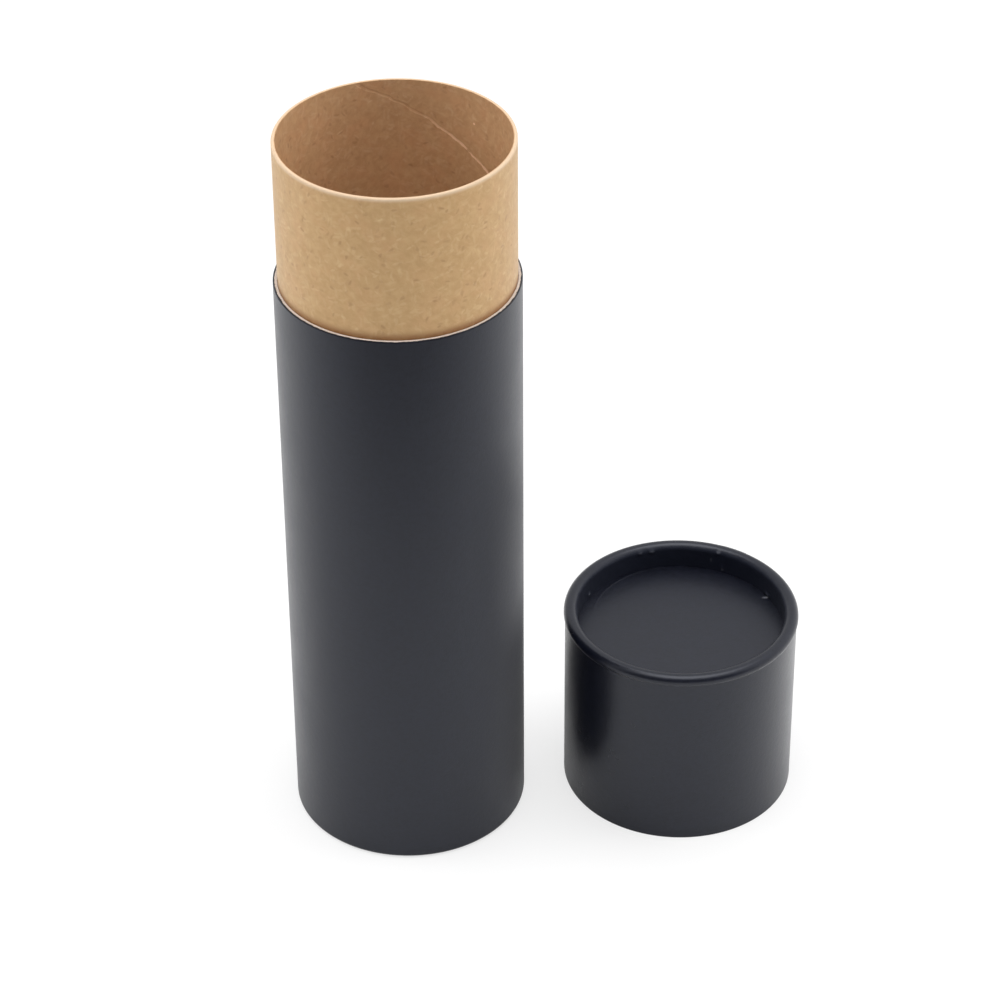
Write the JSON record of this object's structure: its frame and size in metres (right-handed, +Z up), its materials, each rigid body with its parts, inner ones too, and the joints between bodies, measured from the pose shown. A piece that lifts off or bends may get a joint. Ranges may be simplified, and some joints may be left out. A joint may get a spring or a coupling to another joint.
{
  "type": "kraft paper tube",
  "caption": "Round board packaging tube, open: a bare kraft neck stands out of a black paper-faced sleeve, and the black push-on cap with a rolled rim stands beside it.",
  "frame": {"origin": "centre of the tube's rolled foot, on the surface that the tube and its cap stand on", "axes": "+Z up along the tube's axis, +X towards the cap that stands beside the tube, +Y away from the viewer"},
  "size_m": [0.1643, 0.0847, 0.2455],
  "materials": {
    "black_paper": "satin black paper facing on board",
    "kraft_board": "bare kraft board with fine fibres"
  },
  "bodies": {
    "root": {"outer_sleeve": "black_paper", "neck_tube": "kraft_board", "base_disc": "black_paper", "cap_tube": "black_paper", "cap_disc": "black_paper"}
  },
  "joints": []
}
